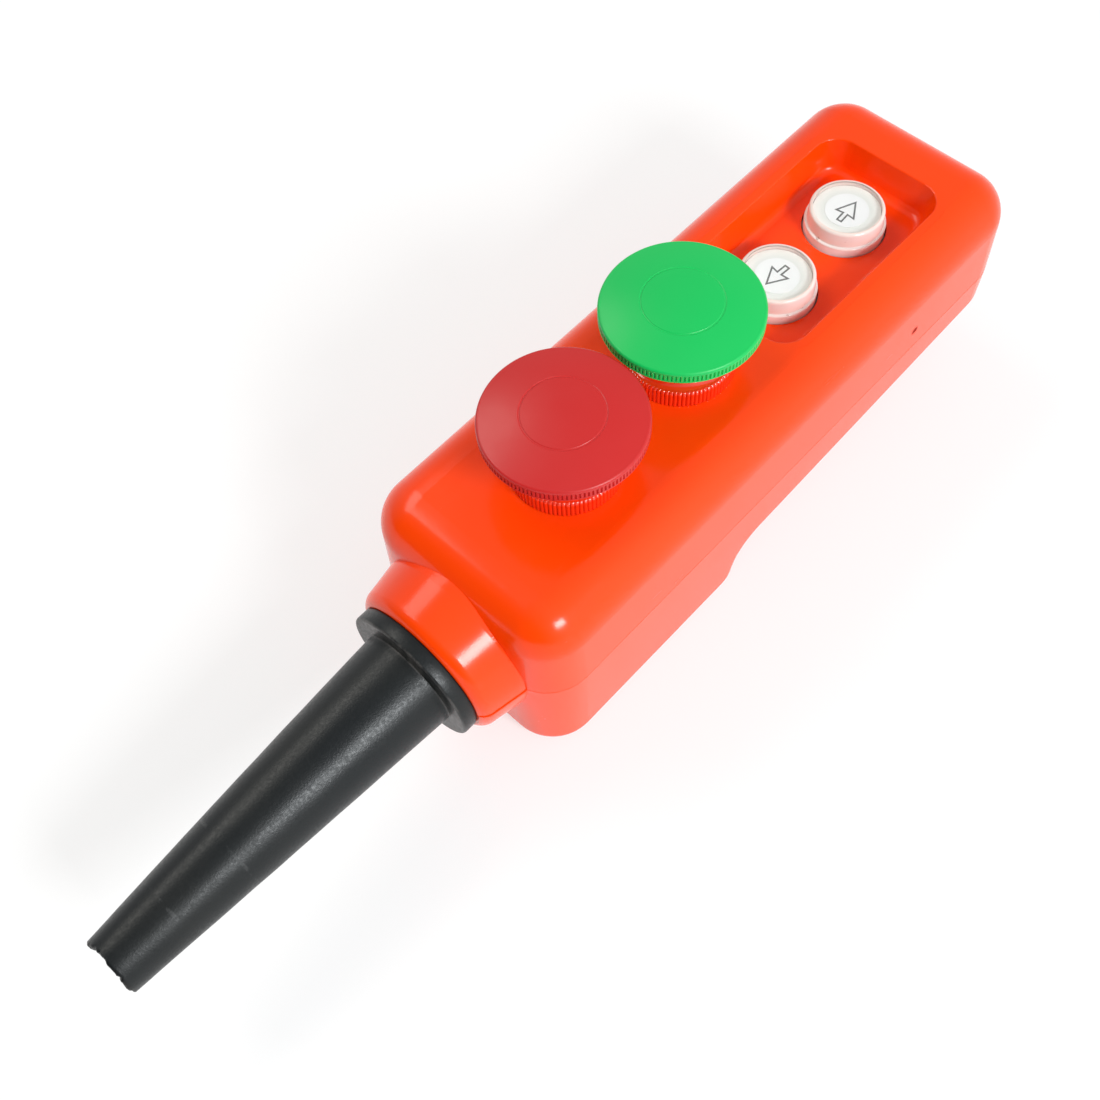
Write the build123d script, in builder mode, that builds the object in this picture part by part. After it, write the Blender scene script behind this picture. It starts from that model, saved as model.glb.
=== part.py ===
from build123d import *
from math import cos, pi, sin
import os

os.makedirs("parts", exist_ok=True)

# Hand-held pendant control station, lying on its back, millimetres.
# +X runs along the handle away from the cord, +Z points out of the control face,
# Z = 0 is the back of the deep half and X = 0 is the middle of the overall length.

# ---- Housing ----
cord_end_x = -40.7
far_end_x = 149.2
half_width = 32.0  # at the split plane
control_face_z = 63.9
split_z = 35.5  # the two halves meet here, level with the cord axis
wall = 2.8
side_draft = 2.0
corner_radius = 13.3
face_round = 11.7
back_round = 5.0
split_bevel = 0.15

# ---- Back of the housing: deep under the mushroom heads, then a stepped hand grip ----
step_foot_x = 32.6
step_top_x = 36.2
grip_back_z = 14.3
grip_far_z = 21.0
step_round = 7.0

# ---- Button recess in the control face ----
recess_near_x = 61.6
recess_far_x = 129.2
recess_half_width = 18.8
recess_depth = 9.2
recess_draft = 15.0
recess_corner = 7.5
recess_wall = 2.5
recess_rim_round = 0.5
recess_floor_round = 2.5

# ---- Cord collar and rubber sleeve ----
collar_face_x = -52.5
collar_face_radius = 19.4
collar_crown_radius = 21.8
collar_root_radius = 23.3
collar_crown = 3.4
collar_crown_arc = 4.0
collar_lip = 3.5
collar_lip_radius = 15.4
collar_bore_radius = 18.4
collar_rear_step = 0.35  # the rear half stands this much prouder
sleeve_tip_x = -149.2
sleeve_tip_radius = 7.75
sleeve_root_radius = 13.6
sleeve_flange_radius = 19.15
sleeve_flange = 4.15
sleeve_flange_round = 0.7
sleeve_root_flare = 1.0
sleeve_neck_radius = 15.2
sleeve_inner_flange_radius = 18.1
sleeve_inner_flange = 4.0
sleeve_bore_radius = 11.4
cord_hole_radius = 4.9
cord_hole_length = 14.0

# ---- Screw pillars that join the two halves ----
pillar_radius = 4.4
rear_pillar_radius = 5.4
pillar_spots = [(-31.0, -22.5), (-31.0, 22.5), (140.0, -20.0), (140.0, 20.0)]
case_screw_seat_z = 24.5
case_screw_radius = 1.9
case_screw_length = 24.0
case_screw_head_radius = 3.4
case_screw_head = 2.6
case_screw_hole = 2.2
case_screw_well = 3.8

# ---- Seal in the rim of the rear shell ----
gasket_width = 1.2
gasket_height = 1.0

# ---- Cord clamp inside the cord end ----
clamp_x = -27.0
clamp_half_span = 13.0
clamp_width = 8.0
clamp_post_radius = 4.0
clamp_post_z = 31.0
clamp_strap = 2.4
clamp_arch_radius = 5.8
clamp_strap_inset = 0.5
clamp_screw_radius = 1.4
clamp_screw_length = 10.0
clamp_screw_head_radius = 2.6
clamp_screw_head = 1.8

# ---- Mushroom push buttons ----
stop_x = 1.0
start_x = 42.1
stop_edge_z = 84.0
start_edge_z = 85.1
head_radius = 20.0
head_rim = 3.3
head_rim_thick = 1.2
head_crown = 2.3
head_edge_round = 0.8
head_ring_radius = 10.0
head_ring_groove = 0.4
head_ring_depth = 0.13
head_teeth = 126
head_tooth_depth = 0.35
head_lip = 0.4
head_band_margin = 0.2  # smooth strip between the knurl and the rounded edge
head_hub_radius = 8.9
head_hub_root_radius = 10.2
head_hub_root_drop = 5.6
head_hub_step = 1.0
head_hub_end_drop = 22.0
panel_hole_radius = 11.2
bezel_radius = 14.3
bezel_height = 5.35
bezel_cone_radius = 12.0
bezel_top_z = 70.4
bezel_teeth = 84
bezel_tooth_depth = 0.4
bezel_round = 0.45
bezel_lip_radius = 9.1
barrel_radius = 11.0
barrel_bore_radius = 9.0
barrel_top_z = 68.8
barrel_flange_radius = 14.0
barrel_flange = 3.5
barrel_body_radius = 13.0
barrel_bottom_z = 40.0
barrel_shoulder_z = 47.0
barrel_shoulder = 3.0
barrel_relief_radius = 6.8
barrel_screw_x = 9.5
barrel_screw_depth = 6.0
stem_radius = 4.4
stem_grip = 6.0
stem_clip_radius = 6.2
stem_clip_thick = 1.5
panel_seal = 1.0
panel_seal_inset = 0.3
head_spring_wire = 0.9
head_spring_turns = 4

# ---- White push buttons in the recess ----
down_x = 81.5
up_x = 111.3
button_hole_radius = 11.45
lens_top_z = 61.8
lens_top_radius = 10.1
lens_waist_radius = 10.3
lens_step_z = 57.3
lens_skirt_radius = 11.0
lens_flange_radius = 12.6
lens_flange_z = 50.4
lens_flange = 1.5
lens_roof = 1.1
lens_rim_round = 0.7
lens_ledge_round = 0.4
lens_bore_radius = 9.25
cap_radius = 9.1
cap_top_z = 60.4
cap_bottom_z = 50.8
cap_bore_radius = 7.4
cap_roof = 3.0
cap_edge_round = 0.8
legend_radius = 5.9
legend_height = 0.3
plunger_radius = 4.0
plunger_grip = 1.5
plunger_play = 0.3  # between the plunger shoulder and its contact bridge
button_spring_wire = 0.7
button_spring_turns = 5

# ---- Black frame that guides the white buttons ----
frame_top_z = 52.2
frame_bottom_z = 44.2
frame_floor = 2.0
frame_end = 15.5
frame_half_width = 16.0
frame_well_radius = 13.0
frame_corner = 2.0
frame_screw_inset = 3.0
frame_post_radius = 3.0
frame_post = 5.0
frame_post_fit = 0.2
frame_post_root = 0.5  # how far the posts reach into the wall above them
frame_screw_radius = 1.2
frame_screw_head_radius = 2.2
frame_screw_head = 1.4

# ---- Switch blocks ----
block_half_width = 18.0
well_half_width = 10.0
well_wall = 1.6
block_floor = 2.2
strip_width = 8.0
strip_thick = 1.0
strip_inner_y = 4.2
strip_end_inset = 0.5
terminal_y = 14.4
terminal_head_radius = 2.7
terminal_head = 1.8
terminal_shank_radius = 1.4
terminal_shank = 6.0
bridge_half_length = 8.6
bridge_width = 6.0
bridge_thick = 1.2
contact_gap = 0.3
block_screw_radius = 1.4
block_screw_head_radius = 2.4
block_screw_head = 1.8
head_block_height = 21.0
head_block_half_length = 12.0
head_well_half_length = 7.0
button_block_height = 18.0
button_block_half_length = 10.5
button_well_half_length = 6.0
strip_level = 0.48  # share of the block's height above the contact strips
carrier_clearance = 1.4
carrier_end = 1.0  # past the underside of the bridge

# ---- Travel ----
head_travel = 5.0
button_travel = 3.5
running_gap = 0.1
body_gap = 0.3  # between pieces that move against each other at the end of travel
screw_fit = 0.05  # a screw in its own tapped hole
screw_slack = 0.1  # a screw through a clearance hole
screw_head_fit = 0.2  # round a sunk screw head
hole_spare = 1.0  # left below the point of a screw

# ---- Derived sizes ----
body_length = far_end_x - cord_end_x
body_mid_x = (far_end_x + cord_end_x) / 2
grip_slope = (grip_far_z - grip_back_z) / (far_end_x - step_top_x)
panel_under_z = control_face_z - wall
case_screw_grip = case_screw_length - (split_z - case_screw_seat_z)
recess_mid_x = (recess_near_x + recess_far_x) / 2
sleeve_root_x = collar_face_x - sleeve_flange
sleeve_neck_end_x = collar_face_x + collar_lip + running_gap
sleeve_end_x = sleeve_neck_end_x + sleeve_inner_flange
cord_axis = Axis((0, 0, split_z), (1, 0, 0))
lengthwise = Plane(origin=(0, 0, split_z), x_dir=(1, 0, 0), z_dir=(0, -1, 0))
split_plane = Plane.XY.offset(split_z)


def keep(block, name):
    """Label a finished piece and write it."""
    block.part.label = name
    export_step(block.part, f"parts/{name}.step")


def upright(x, y=0.0):
    """Section plane through a vertical axis: local x is the radius, local y is Z."""
    return Plane(origin=(x, y, 0), x_dir=(1, 0, 0), z_dir=(0, -1, 0))


def vertical(x, y=0.0):
    return Axis((x, y, 0), (0, 0, 1))


def toothed_outline(radius, teeth, depth):
    """Points of a fine straight knurl: flat-topped ridges with V grooves between."""
    points = []
    for tooth in range(teeth):
        for share, reach in ((0.0, radius), (0.45, radius), (0.72, radius - depth)):
            angle = 2 * pi * (tooth + share) / teeth
            points.append((reach * cos(angle), reach * sin(angle)))
    return points


# ---- Housing forms ----

def front_form(inset):
    """Front half as a solid, drawn in by inset from its outer skin."""
    with BuildPart() as form:
        with BuildSketch(split_plane.shift_origin((body_mid_x, 0, split_z))):
            RectangleRounded(body_length - 2 * inset, 2 * (half_width - inset), corner_radius - inset)
        extrude(amount=control_face_z - inset - split_z, taper=side_draft)
        fillet(form.edges().group_by(Axis.Z)[-1], radius=face_round - inset)
    return form.part


def is_back_rim(edge):
    """True for an edge round the back, false for a seam that crosses it."""
    spot = edge.center()
    return abs(spot.Y) > 1 or spot.X < cord_end_x + 10 or spot.X > far_end_x - 10


def rear_form(inset):
    """Rear half as a solid, drawn in by inset, with the step for the fingers."""
    downwards = Plane(origin=(body_mid_x, 0, split_z), x_dir=(1, 0, 0), z_dir=(0, 0, -1))
    beyond = 30.0
    with BuildPart() as form:
        with BuildSketch(downwards):
            RectangleRounded(body_length - 2 * inset, 2 * (half_width - inset), corner_radius - inset)
        extrude(amount=split_z, taper=side_draft / 2)
        with BuildSketch(Plane.XZ) as side:
            with BuildLine():
                Polyline(
                    (cord_end_x - beyond, 0),
                    (step_foot_x, 0),
                    (step_top_x, grip_back_z),
                    (far_end_x + beyond, grip_far_z + beyond * grip_slope),
                    (far_end_x + beyond, split_z + beyond),
                    (cord_end_x - beyond, split_z + beyond),
                    close=True,
                )
            make_face()
            fillet(side.vertices().sort_by(Axis.X)[2:4], radius=step_round)
            if inset:
                offset(amount=-inset)
        extrude(amount=2 * half_width, both=True, mode=Mode.INTERSECT)
        back_faces = form.faces().filter_by(lambda face: face.normal_at().Z < -0.2)
        fillet(back_faces.edges().filter_by(is_back_rim), radius=back_round - inset)
    return form.part


def collar_form(grow):
    """Round collar on the cord end, larger than the front half's by grow."""
    inside_x = cord_end_x + face_round
    face_radius = collar_face_radius + grow
    crown = (collar_face_x + collar_crown, collar_crown_radius + grow)
    root_radius = collar_root_radius + grow
    with BuildPart() as collar:
        with BuildSketch(lengthwise):
            with BuildLine():
                Line((inside_x, 0), (collar_face_x, 0))
                Line((collar_face_x, 0), (collar_face_x, face_radius))
                RadiusArc((collar_face_x, face_radius), crown, collar_crown_arc)
                Line(crown, (cord_end_x, root_radius))
                Line((cord_end_x, root_radius), (inside_x, root_radius))
                Line((inside_x, root_radius), (inside_x, 0))
            make_face()
        revolve(axis=cord_axis)
    return collar.part


def collar_bore():
    """The way through the collar: a narrow lip, then a wider bore into the housing."""
    inside_x = cord_end_x + 3 * wall
    lip_end_x = collar_face_x + collar_lip
    with BuildPart() as bore:
        with BuildSketch(lengthwise):
            with BuildLine():
                Polyline(
                    (collar_face_x - 1, 0),
                    (collar_face_x - 1, collar_lip_radius),
                    (lip_end_x, collar_lip_radius),
                    (lip_end_x, collar_bore_radius),
                    (inside_x, collar_bore_radius),
                    (inside_x, 0),
                    close=True,
                )
            make_face()
        revolve(axis=cord_axis)
    return bore.part


front_outer = front_form(0)
front_inner = front_form(wall)
rear_outer = rear_form(0)
rear_inner = rear_form(wall)
collar_way = collar_bore()

frame_near_x = down_x - frame_end
frame_far_x = up_x + frame_end
frame_screw_spots = [
    (x, y)
    for x in (frame_near_x + frame_screw_inset, frame_far_x - frame_screw_inset)
    for y in (-frame_half_width + frame_screw_inset, frame_half_width - frame_screw_inset)
]


def recess_sketch(grow):
    RectangleRounded(
        recess_far_x - recess_near_x + 2 * grow,
        2 * (recess_half_width + grow),
        recess_corner + grow,
    )


recess_plane = Plane(origin=(recess_mid_x, 0, control_face_z), x_dir=(1, 0, 0), z_dir=(0, 0, -1))

with BuildPart() as recess_form:
    with BuildSketch(recess_plane):
        recess_sketch(0)
    extrude(amount=recess_depth, taper=recess_draft)
    fillet(recess_form.edges().group_by(Axis.Z)[0], radius=recess_floor_round)


def is_recess_rim(edge):
    """True for an edge in the control face that bounds the recess."""
    spot = edge.center()
    level = abs(spot.Z - control_face_z) < 0.01
    inside = abs(spot.Y) < recess_half_width + 0.1 and recess_near_x - 0.1 < spot.X < recess_far_x + 0.1
    return level and inside

with BuildPart() as front_cover:
    add(front_outer)
    add(collar_form(0))
    split(bisect_by=split_plane, keep=Keep.TOP)
    chamfer(front_cover.faces().sort_by(Axis.Z)[0].edges(), length=split_bevel)
    add(front_inner, mode=Mode.SUBTRACT)
    # tub that carries the recess, kept inside the skin
    with BuildSketch(recess_plane):
        recess_sketch(recess_wall)
    extrude(amount=recess_depth + recess_wall, taper=recess_draft)
    with BuildSketch(split_plane):
        with Locations(*pillar_spots):
            Circle(pillar_radius)
    extrude(until=Until.NEXT)
    with BuildSketch(Plane.XY.offset(frame_top_z + frame_post_root)):
        with Locations(*frame_screw_spots):
            Circle(frame_post_radius)
    extrude(amount=-frame_post - frame_post_root)
    add(collar_way, mode=Mode.SUBTRACT)
    add(recess_form.part, mode=Mode.SUBTRACT)
    fillet(front_cover.edges().filter_by(is_recess_rim), radius=recess_rim_round)
    with BuildSketch(Plane.XY.offset(control_face_z)):
        with Locations((stop_x, 0), (start_x, 0)):
            Circle(panel_hole_radius)
        with Locations((down_x, 0), (up_x, 0)):
            Circle(button_hole_radius)
    extrude(amount=-recess_depth - 2 * recess_wall, mode=Mode.SUBTRACT)
    with Locations(*[Location((x, y, split_z), (180, 0, 0)) for x, y in pillar_spots]):
        Hole(radius=case_screw_radius + screw_fit, depth=case_screw_grip + hole_spare)
    with Locations(*[Location((x, y, frame_top_z - frame_post), (180, 0, 0)) for x, y in frame_screw_spots]):
        Hole(radius=frame_screw_radius + screw_fit, depth=frame_post)
keep(front_cover, "front_cover")

gasket_inset = (wall - gasket_width) / 2


def gasket_sketch():
    """Seal line round the rim, open where the collar crosses it."""
    for inset, mode in ((gasket_inset, Mode.ADD), (gasket_inset + gasket_width, Mode.SUBTRACT)):
        RectangleRounded(
            body_length - 2 * inset, 2 * (half_width - inset), corner_radius - inset, mode=mode
        )
    with Locations((cord_end_x - body_mid_x, 0)):
        Rectangle(4 * wall, 2 * collar_root_radius + 2, mode=Mode.SUBTRACT)


rim_plane = split_plane.shift_origin((body_mid_x, 0, split_z))

with BuildPart() as rear_shell:
    add(rear_outer)
    add(collar_form(collar_rear_step))
    split(bisect_by=split_plane, keep=Keep.BOTTOM)
    chamfer(rear_shell.faces().sort_by(Axis.Z)[-1].edges(), length=split_bevel)
    add(rear_inner, mode=Mode.SUBTRACT)
    with BuildSketch(split_plane):
        with Locations(*pillar_spots):
            Circle(rear_pillar_radius)
    extrude(until=Until.NEXT, dir=(0, 0, -1))
    with BuildSketch(Plane.XY.offset(clamp_post_z)):
        with Locations((clamp_x, -clamp_half_span), (clamp_x, clamp_half_span)):
            Circle(clamp_post_radius)
    extrude(until=Until.NEXT, dir=(0, 0, -1))
    add(collar_way, mode=Mode.SUBTRACT)
    with BuildSketch(Plane.XY):
        with Locations(*pillar_spots):
            Circle(case_screw_well)
    extrude(amount=case_screw_seat_z, mode=Mode.SUBTRACT)
    with BuildSketch(Plane.XY):
        with Locations(*pillar_spots):
            Circle(case_screw_hole)
    extrude(amount=split_z, mode=Mode.SUBTRACT)
    with Locations((clamp_x, -clamp_half_span, clamp_post_z), (clamp_x, clamp_half_span, clamp_post_z)):
        Hole(radius=clamp_screw_radius + screw_fit, depth=clamp_screw_length)
    with BuildSketch(rim_plane):
        gasket_sketch()
    extrude(amount=-gasket_height, mode=Mode.SUBTRACT)
keep(rear_shell, "rear_shell")

with BuildPart() as housing_gasket:
    with BuildSketch(rim_plane.offset(-gasket_height)):
        gasket_sketch()
    extrude(amount=gasket_height)
keep(housing_gasket, "housing_gasket")


# ---- Screws ----

def screws(name, spots, seat_z, head_radius_mm, head_height, shank_radius, shank_length, up):
    """Cross-slot screws on one level; up is +1 when the shank points to +Z."""
    slot = head_radius_mm * 1.1
    with BuildPart() as group:
        for x, y in spots:
            seat = Plane(origin=(x, y, seat_z), x_dir=(1, 0, 0), z_dir=(0, 0, up))
            with BuildSketch(seat):
                Circle(shank_radius)
            extrude(amount=shank_length)
            with BuildSketch(seat):
                Circle(head_radius_mm)
            extrude(amount=-head_height)
            with BuildSketch(seat.offset(-head_height)):
                Rectangle(slot, slot / 4)
                Rectangle(slot / 4, slot)
            extrude(amount=head_height / 2, mode=Mode.SUBTRACT)
    keep(group, name)


screws(
    "case_screws", pillar_spots, case_screw_seat_z, case_screw_head_radius,
    case_screw_head, case_screw_radius, case_screw_length, 1,
)
screws(
    "cord_clamp_screws", [(clamp_x, -clamp_half_span), (clamp_x, clamp_half_span)],
    clamp_post_z + clamp_strap, clamp_screw_head_radius, clamp_screw_head,
    clamp_screw_radius, clamp_screw_length, -1,
)
screws(
    "button_frame_screws", frame_screw_spots, frame_bottom_z, frame_screw_head_radius,
    frame_screw_head, frame_screw_radius, frame_top_z - frame_bottom_z - hole_spare, 1,
)


# ---- Cord sleeve and clamp ----

with BuildPart() as cable_sleeve:
    with BuildSketch(lengthwise):
        with BuildLine():
            Polyline(
                (sleeve_tip_x, cord_hole_radius),
                (sleeve_tip_x, sleeve_tip_radius),
                (sleeve_root_x - sleeve_root_flare, sleeve_root_radius),
                (sleeve_root_x, sleeve_root_radius + sleeve_root_flare),
                (sleeve_root_x, sleeve_flange_radius),
                (collar_face_x, sleeve_flange_radius),
                (collar_face_x, sleeve_neck_radius),
                (sleeve_neck_end_x, sleeve_neck_radius),
                (sleeve_neck_end_x, sleeve_inner_flange_radius),
                (sleeve_end_x, sleeve_inner_flange_radius),
                (sleeve_end_x, sleeve_bore_radius),
                (sleeve_root_x, sleeve_bore_radius),
                (sleeve_tip_x + cord_hole_length, cord_hole_radius),
                close=True,
            )
        make_face()
    revolve(axis=cord_axis)
    outer_flange = cable_sleeve.edges().filter_by(
        lambda edge: edge.geom_type == GeomType.CIRCLE and abs(edge.radius - sleeve_flange_radius) < 0.01
    )
    fillet(outer_flange, radius=sleeve_flange_round)
keep(cable_sleeve, "cable_sleeve")

with BuildPart() as cord_clamp:
    with BuildSketch(Plane.YZ.offset(clamp_x - clamp_width / 2)):
        with Locations((0, split_z)):
            Circle(clamp_arch_radius + clamp_strap)
        with Locations((0, clamp_post_z + clamp_strap / 2)):
            Rectangle(2 * (clamp_half_span + clamp_post_radius - clamp_strap_inset), clamp_strap)
        with Locations((0, split_z)):
            Circle(clamp_arch_radius, mode=Mode.SUBTRACT)
        with Locations((0, clamp_post_z - 10)):
            Rectangle(2 * half_width, 20, mode=Mode.SUBTRACT)
    extrude(amount=clamp_width)
    with Locations(
        (clamp_x, -clamp_half_span, clamp_post_z + clamp_strap),
        (clamp_x, clamp_half_span, clamp_post_z + clamp_strap),
    ):
        Hole(radius=clamp_screw_radius + screw_slack, depth=clamp_strap)
keep(cord_clamp, "cord_clamp")


# ---- Switch block, shared by all four buttons ----

def switch_block(name, x, top_z, height, half_length, well_half_length, screw_reach, normally_open, travel):
    """Moulded block with two contact strips, a moving bridge and its screws."""
    bottom_z = top_z - height
    strip_z = top_z - height * strip_level
    middle = Plane(origin=(x, 0, top_z), x_dir=(1, 0, 0), z_dir=(0, 0, -1))
    screw_x = (half_length + well_half_length) / 2
    screw_spots = [(x - screw_x, 0), (x + screw_x, 0)]
    terminal_spots = [(x, -terminal_y), (x, terminal_y)]
    shelf_length = block_half_width - well_half_width - well_wall
    shelf_mid_y = block_half_width - shelf_length / 2

    with BuildPart() as block:
        with BuildSketch(middle):
            Rectangle(2 * half_length, 2 * block_half_width)
        extrude(amount=height)
        with BuildSketch(middle):
            Rectangle(2 * well_half_length, 2 * well_half_width)
        extrude(amount=height - block_floor, mode=Mode.SUBTRACT)
        # terminal shelves, open to the outside
        with BuildSketch(middle):
            with Locations((0, shelf_mid_y), (0, -shelf_mid_y)):
                Rectangle(2 * half_length, shelf_length)
        extrude(amount=top_z - strip_z, mode=Mode.SUBTRACT)
        # slots that let the strips through the well's end walls
        with BuildSketch(middle.offset(top_z - strip_z - strip_thick)):
            Rectangle(strip_width, 2 * (well_half_width + well_wall))
        extrude(amount=strip_thick, mode=Mode.SUBTRACT)
        with BuildSketch(Plane.XY.offset(bottom_z)):
            with Locations(*screw_spots):
                Circle(block_screw_radius + screw_slack)
        extrude(amount=height, mode=Mode.SUBTRACT)
        with BuildSketch(Plane.XY.offset(bottom_z)):
            with Locations(*screw_spots):
                Circle(block_screw_head_radius + screw_head_fit)
        extrude(amount=block_screw_head, mode=Mode.SUBTRACT)
        with Locations(*[(px, py, strip_z) for px, py in terminal_spots]):
            Hole(radius=terminal_shank_radius + screw_fit, depth=terminal_shank + hole_spare)
    keep(block, f"{name}_switch_block")

    with BuildPart() as strips:
        strip_length = block_half_width - strip_end_inset - strip_inner_y
        strip_mid_y = strip_inner_y + strip_length / 2
        with BuildSketch(Plane.XY.offset(strip_z)):
            with Locations((x, strip_mid_y), (x, -strip_mid_y)):
                Rectangle(strip_width, strip_length)
        extrude(amount=strip_thick)
        with Locations(*[(px, py, strip_z + strip_thick) for px, py in terminal_spots]):
            Hole(radius=terminal_shank_radius + screw_fit, depth=strip_thick)
    keep(strips, f"{name}_fixed_contacts")

    screws(
        f"{name}_terminal_screws", terminal_spots, strip_z + strip_thick,
        terminal_head_radius, terminal_head, terminal_shank_radius, terminal_shank, -1,
    )
    screws(
        f"{name}_block_screws", screw_spots, bottom_z + block_screw_head,
        block_screw_head_radius, block_screw_head, block_screw_radius, screw_reach, 1,
    )

    if normally_open:
        bridge_z = strip_z + strip_thick + travel + contact_gap
    else:
        bridge_z = strip_z - contact_gap - bridge_thick
    carrier_radius = strip_inner_y - carrier_clearance
    with BuildPart() as bridge:
        with BuildSketch(Plane.XY.offset(bridge_z)):
            with Locations((x, 0)):
                Rectangle(bridge_width, 2 * bridge_half_length)
                Circle(carrier_radius, mode=Mode.SUBTRACT)
        extrude(amount=bridge_thick)
    keep(bridge, f"{name}_contact_bridge")
    return bridge_z, carrier_radius


def coil_spring(name, x, low_z, high_z, radius, wire, turns):
    """Compression spring between two levels."""
    height = high_z - low_z - wire
    with BuildPart() as spring:
        with BuildLine(Plane(origin=(x, 0, low_z + wire / 2))):
            path = Helix(pitch=height / turns, height=height, radius=radius)
        with BuildSketch(Plane(origin=path @ 0, z_dir=path % 0)):
            Circle(wire / 2)
        sweep(path=path, is_frenet=True)
    keep(spring, name)


# ---- Mushroom buttons: start (green) and stop (red) ----

def mushroom_button(name, x, edge_z, normally_open):
    """Head, hub, bezel, barrel, seal, stem, spring and switch block of one button."""
    rim_z = edge_z - head_rim
    hub_end_z = edge_z - head_hub_end_drop
    band_z = rim_z + head_lip
    band_height = head_rim - head_lip - head_edge_round - head_band_margin
    section = upright(x)
    turning = vertical(x)

    with BuildPart() as head:
        with BuildSketch(section):
            with BuildLine():
                edge = (head_radius - head_edge_round, edge_z)
                side = (head_radius, edge_z - head_edge_round)
                Polyline(
                    side,
                    (head_radius, rim_z),
                    (head_radius - head_rim_thick, rim_z),
                    (head_hub_root_radius, edge_z - head_hub_root_drop),
                    (head_hub_radius, edge_z - head_hub_root_drop - head_hub_step),
                    (head_hub_radius, hub_end_z),
                    (0, hub_end_z),
                    (0, edge_z + head_crown),
                )
                RadiusArc(edge, side, head_edge_round)
                ThreePointArc((0, edge_z + head_crown), (edge[0] / 2, edge_z + head_crown * 3 / 4), edge)
            make_face()
        revolve(axis=turning)
        with BuildSketch(Plane(origin=(x, 0, band_z))):
            Circle(head_radius + 1)
            Polygon(
                *toothed_outline(head_radius, head_teeth, head_tooth_depth),
                align=None, mode=Mode.SUBTRACT,
            )
        extrude(amount=band_height, mode=Mode.SUBTRACT)
        ring_drop = head_crown * (head_ring_radius / edge[0]) ** 2
        with BuildSketch(section):
            groove_z = edge_z + head_crown - ring_drop + head_ring_groove - head_ring_depth
            with Locations((head_ring_radius, groove_z)):
                Circle(head_ring_groove)
        revolve(axis=turning, mode=Mode.SUBTRACT)
        with BuildSketch(Plane(origin=(x, 0, hub_end_z))):
            Circle(stem_radius)
        extrude(amount=stem_grip, mode=Mode.SUBTRACT)
    keep(head, f"{name}_head")

    with BuildPart() as bezel:
        with BuildSketch(Plane(origin=(x, 0, control_face_z))):
            Polygon(*toothed_outline(bezel_radius, bezel_teeth, bezel_tooth_depth), align=None)
        extrude(amount=bezel_height)
        ring_top_z = control_face_z + bezel_height
        with BuildSketch(section):
            with BuildLine():
                shoulder = (bezel_radius - bezel_round, ring_top_z)
                flank = (bezel_radius, ring_top_z - bezel_round)
                RadiusArc(shoulder, flank, bezel_round)
                Polyline(
                    flank,
                    (bezel_radius, control_face_z),
                    (0, control_face_z),
                    (0, ring_top_z),
                    shoulder,
                )
            make_face()
        revolve(axis=turning, mode=Mode.INTERSECT)
        with BuildSketch(section):
            with BuildLine():
                Polyline(
                    (0, ring_top_z),
                    (bezel_radius - bezel_tooth_depth - bezel_round, ring_top_z),
                    (bezel_cone_radius, bezel_top_z),
                    (0, bezel_top_z),
                    close=True,
                )
            make_face()
        revolve(axis=turning)
        with BuildSketch(Plane(origin=(x, 0, control_face_z))):
            Circle(barrel_radius + running_gap)
        extrude(amount=barrel_top_z - control_face_z + running_gap, mode=Mode.SUBTRACT)
        with BuildSketch(Plane(origin=(x, 0, control_face_z))):
            Circle(bezel_lip_radius)
        extrude(amount=bezel_top_z - control_face_z, mode=Mode.SUBTRACT)
    keep(bezel, f"{name}_bezel")

    flange_top_z = panel_under_z - panel_seal
    with BuildPart() as seal:
        with BuildSketch(Plane(origin=(x, 0, flange_top_z))):
            Circle(barrel_flange_radius - panel_seal_inset)
            Circle(barrel_radius + running_gap, mode=Mode.SUBTRACT)
        extrude(amount=panel_seal)
    keep(seal, f"{name}_panel_seal")

    with BuildPart() as barrel:
        with BuildSketch(section):
            with BuildLine():
                Polyline(
                    (barrel_bore_radius, barrel_top_z),
                    (barrel_radius, barrel_top_z),
                    (barrel_radius, flange_top_z),
                    (barrel_flange_radius, flange_top_z),
                    (barrel_flange_radius, flange_top_z - barrel_flange),
                    (barrel_body_radius, flange_top_z - barrel_flange),
                    (barrel_body_radius, barrel_bottom_z),
                    (barrel_relief_radius, barrel_bottom_z),
                    (barrel_relief_radius, barrel_shoulder_z),
                    (stem_radius + running_gap, barrel_shoulder_z),
                    (stem_radius + running_gap, barrel_shoulder_z + barrel_shoulder),
                    (barrel_bore_radius, barrel_shoulder_z + barrel_shoulder),
                    close=True,
                )
            make_face()
        revolve(axis=turning)
        with BuildSketch(Plane(origin=(x, 0, barrel_bottom_z))):
            with Locations((-barrel_screw_x, 0), (barrel_screw_x, 0)):
                Circle(block_screw_radius + screw_fit)
        extrude(amount=barrel_screw_depth, mode=Mode.SUBTRACT)
    keep(barrel, f"{name}_barrel")

    bridge_z, carrier_radius = switch_block(
        name, x, barrel_bottom_z, head_block_height, head_block_half_length, head_well_half_length,
        head_block_height - block_screw_head + barrel_screw_depth - hole_spare, normally_open, head_travel,
    )
    clip_top_z = barrel_shoulder_z - body_gap
    with BuildPart() as stem:
        with BuildSketch(section):
            with BuildLine():
                Polyline(
                    (0, hub_end_z + stem_grip),
                    (stem_radius, hub_end_z + stem_grip),
                    (stem_radius, clip_top_z),
                    (stem_clip_radius, clip_top_z),
                    (stem_clip_radius, clip_top_z - stem_clip_thick),
                    (carrier_radius, clip_top_z - stem_clip_thick),
                    (carrier_radius, bridge_z - carrier_end),
                    (0, bridge_z - carrier_end),
                    close=True,
                )
            make_face()
        revolve(axis=turning)
    keep(stem, f"{name}_stem")

    coil_spring(
        f"{name}_spring", x, barrel_shoulder_z + barrel_shoulder, hub_end_z,
        (stem_radius + barrel_bore_radius) / 2, head_spring_wire, head_spring_turns,
    )


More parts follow.
